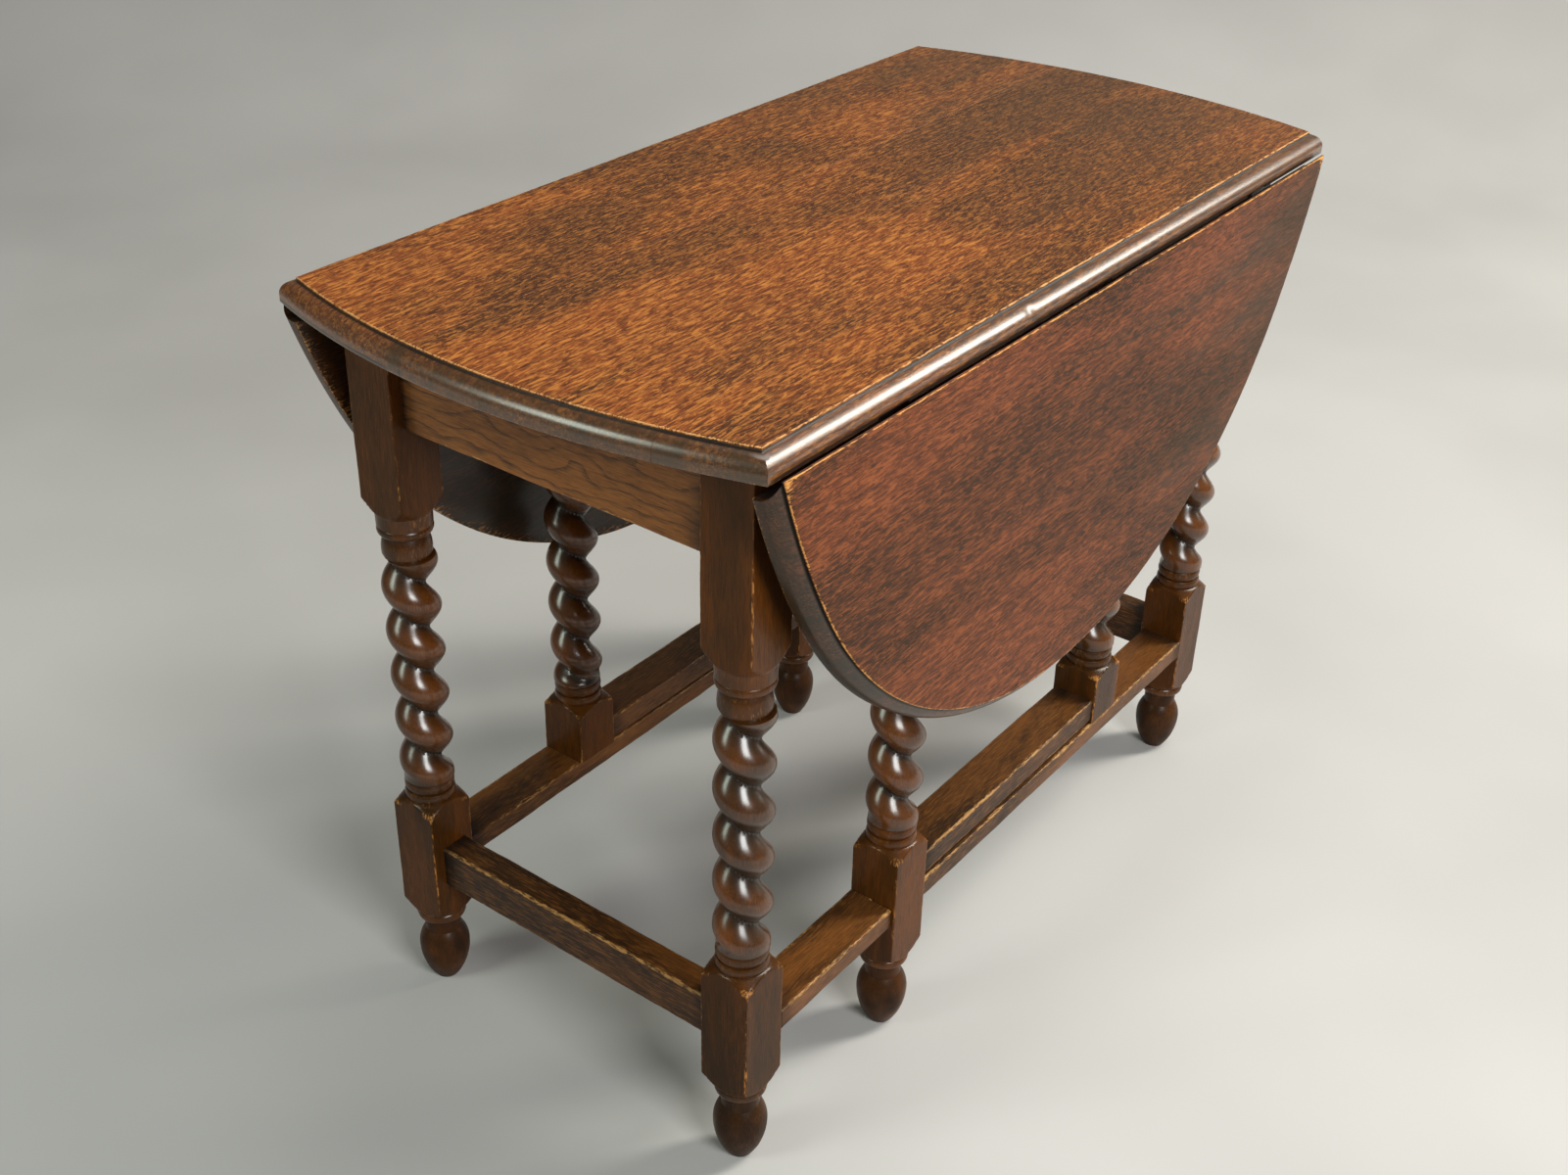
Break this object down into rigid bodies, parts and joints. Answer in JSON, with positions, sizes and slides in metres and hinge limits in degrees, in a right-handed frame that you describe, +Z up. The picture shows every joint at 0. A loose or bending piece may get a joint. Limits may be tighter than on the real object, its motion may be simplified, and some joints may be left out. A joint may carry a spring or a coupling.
{
  "type": "gateleg table",
  "caption": "Drop-leaf gateleg table with rope-twist legs, an oval top with hanging leaves, and a swinging gate on each long side.",
  "frame": {"origin": "on the floor, under the centre of the table", "axes": "+X along the table's length, from the left end to the right end; -Y is the front long side; +Z up"},
  "size_m": [0.972, 0.499, 0.73],
  "materials": {
    "oak_top": "old polished oak, reddish brown, worn edges",
    "oak_leaf": "old polished oak, darker red brown",
    "oak_apron": "golden brown oak with strong figure",
    "oak_turned": "dark stained oak, glossy, rubbed brown on the ridges",
    "oak_rail": "dark stained oak, worn on the upper edges",
    "old_iron": "dark oxidised hinge iron",
    "old_steel": "dull old steel"
  },
  "bodies": {
    "frame": {"top_board_front": "oak_top", "top_board_middle": "oak_top", "top_board_back": "oak_top", "leg_front_left": "oak_turned", "leg_front_right": "oak_turned", "leg_back_left": "oak_turned", "leg_back_right": "oak_turned", "end_apron_left": "oak_apron", "end_apron_right": "oak_apron", "side_apron_front": "oak_apron", "side_apron_back": "oak_apron", "end_stretcher_left": "oak_rail", "end_stretcher_right": "oak_rail", "side_stretcher_front": "oak_rail", "side_stretcher_back": "oak_rail", "hinge_plates_front": "old_iron", "hinge_plates_back": "old_iron", "hinge_pins_front": "old_steel", "hinge_pins_back": "old_steel", "plate_screws_front": "old_steel", "plate_screws_back": "old_steel", "glue_blocks": "oak_rail"},
    "leaf_front": {"leaf_front_inner": "oak_leaf", "leaf_front_outer": "oak_leaf", "hinge_straps_front": "old_iron", "strap_screws_front": "old_steel"},
    "leaf_back": {"leaf_back_inner": "oak_leaf", "leaf_back_outer": "oak_leaf", "hinge_straps_back": "old_iron", "strap_screws_back": "old_steel"},
    "gate_front": {"pivot_post_front": "oak_turned", "gate_leg_front": "oak_turned", "gate_upper_rail_front": "oak_rail", "gate_lower_rail_front": "oak_rail"},
    "gate_back": {"pivot_post_back": "oak_turned", "gate_leg_back": "oak_turned", "gate_upper_rail_back": "oak_rail", "gate_lower_rail_back": "oak_rail"}
  },
  "joints": [
    {"name": "leaf_front_swing", "type": "hinge", "parent": "frame", "child": "leaf_front", "pos_m": [0, -0.23, 0.7105], "axis": [-1, 0, 0], "range_deg": [0, 90]},
    {"name": "leaf_back_swing", "type": "hinge", "parent": "frame", "child": "leaf_back", "pos_m": [0, 0.23, 0.7105], "axis": [1, 0, 0], "range_deg": [0, 90]},
    {"name": "gate_front_swing", "type": "hinge", "parent": "frame", "child": "gate_front", "pos_m": [0.191, -0.1835, 0.15], "axis": [0, 0, 1], "range_deg": [0, 2]},
    {"name": "gate_back_swing", "type": "hinge", "parent": "frame", "child": "gate_back", "pos_m": [-0.191, 0.1835, 0.15], "axis": [0, 0, 1], "range_deg": [0, 2]}
  ]
}
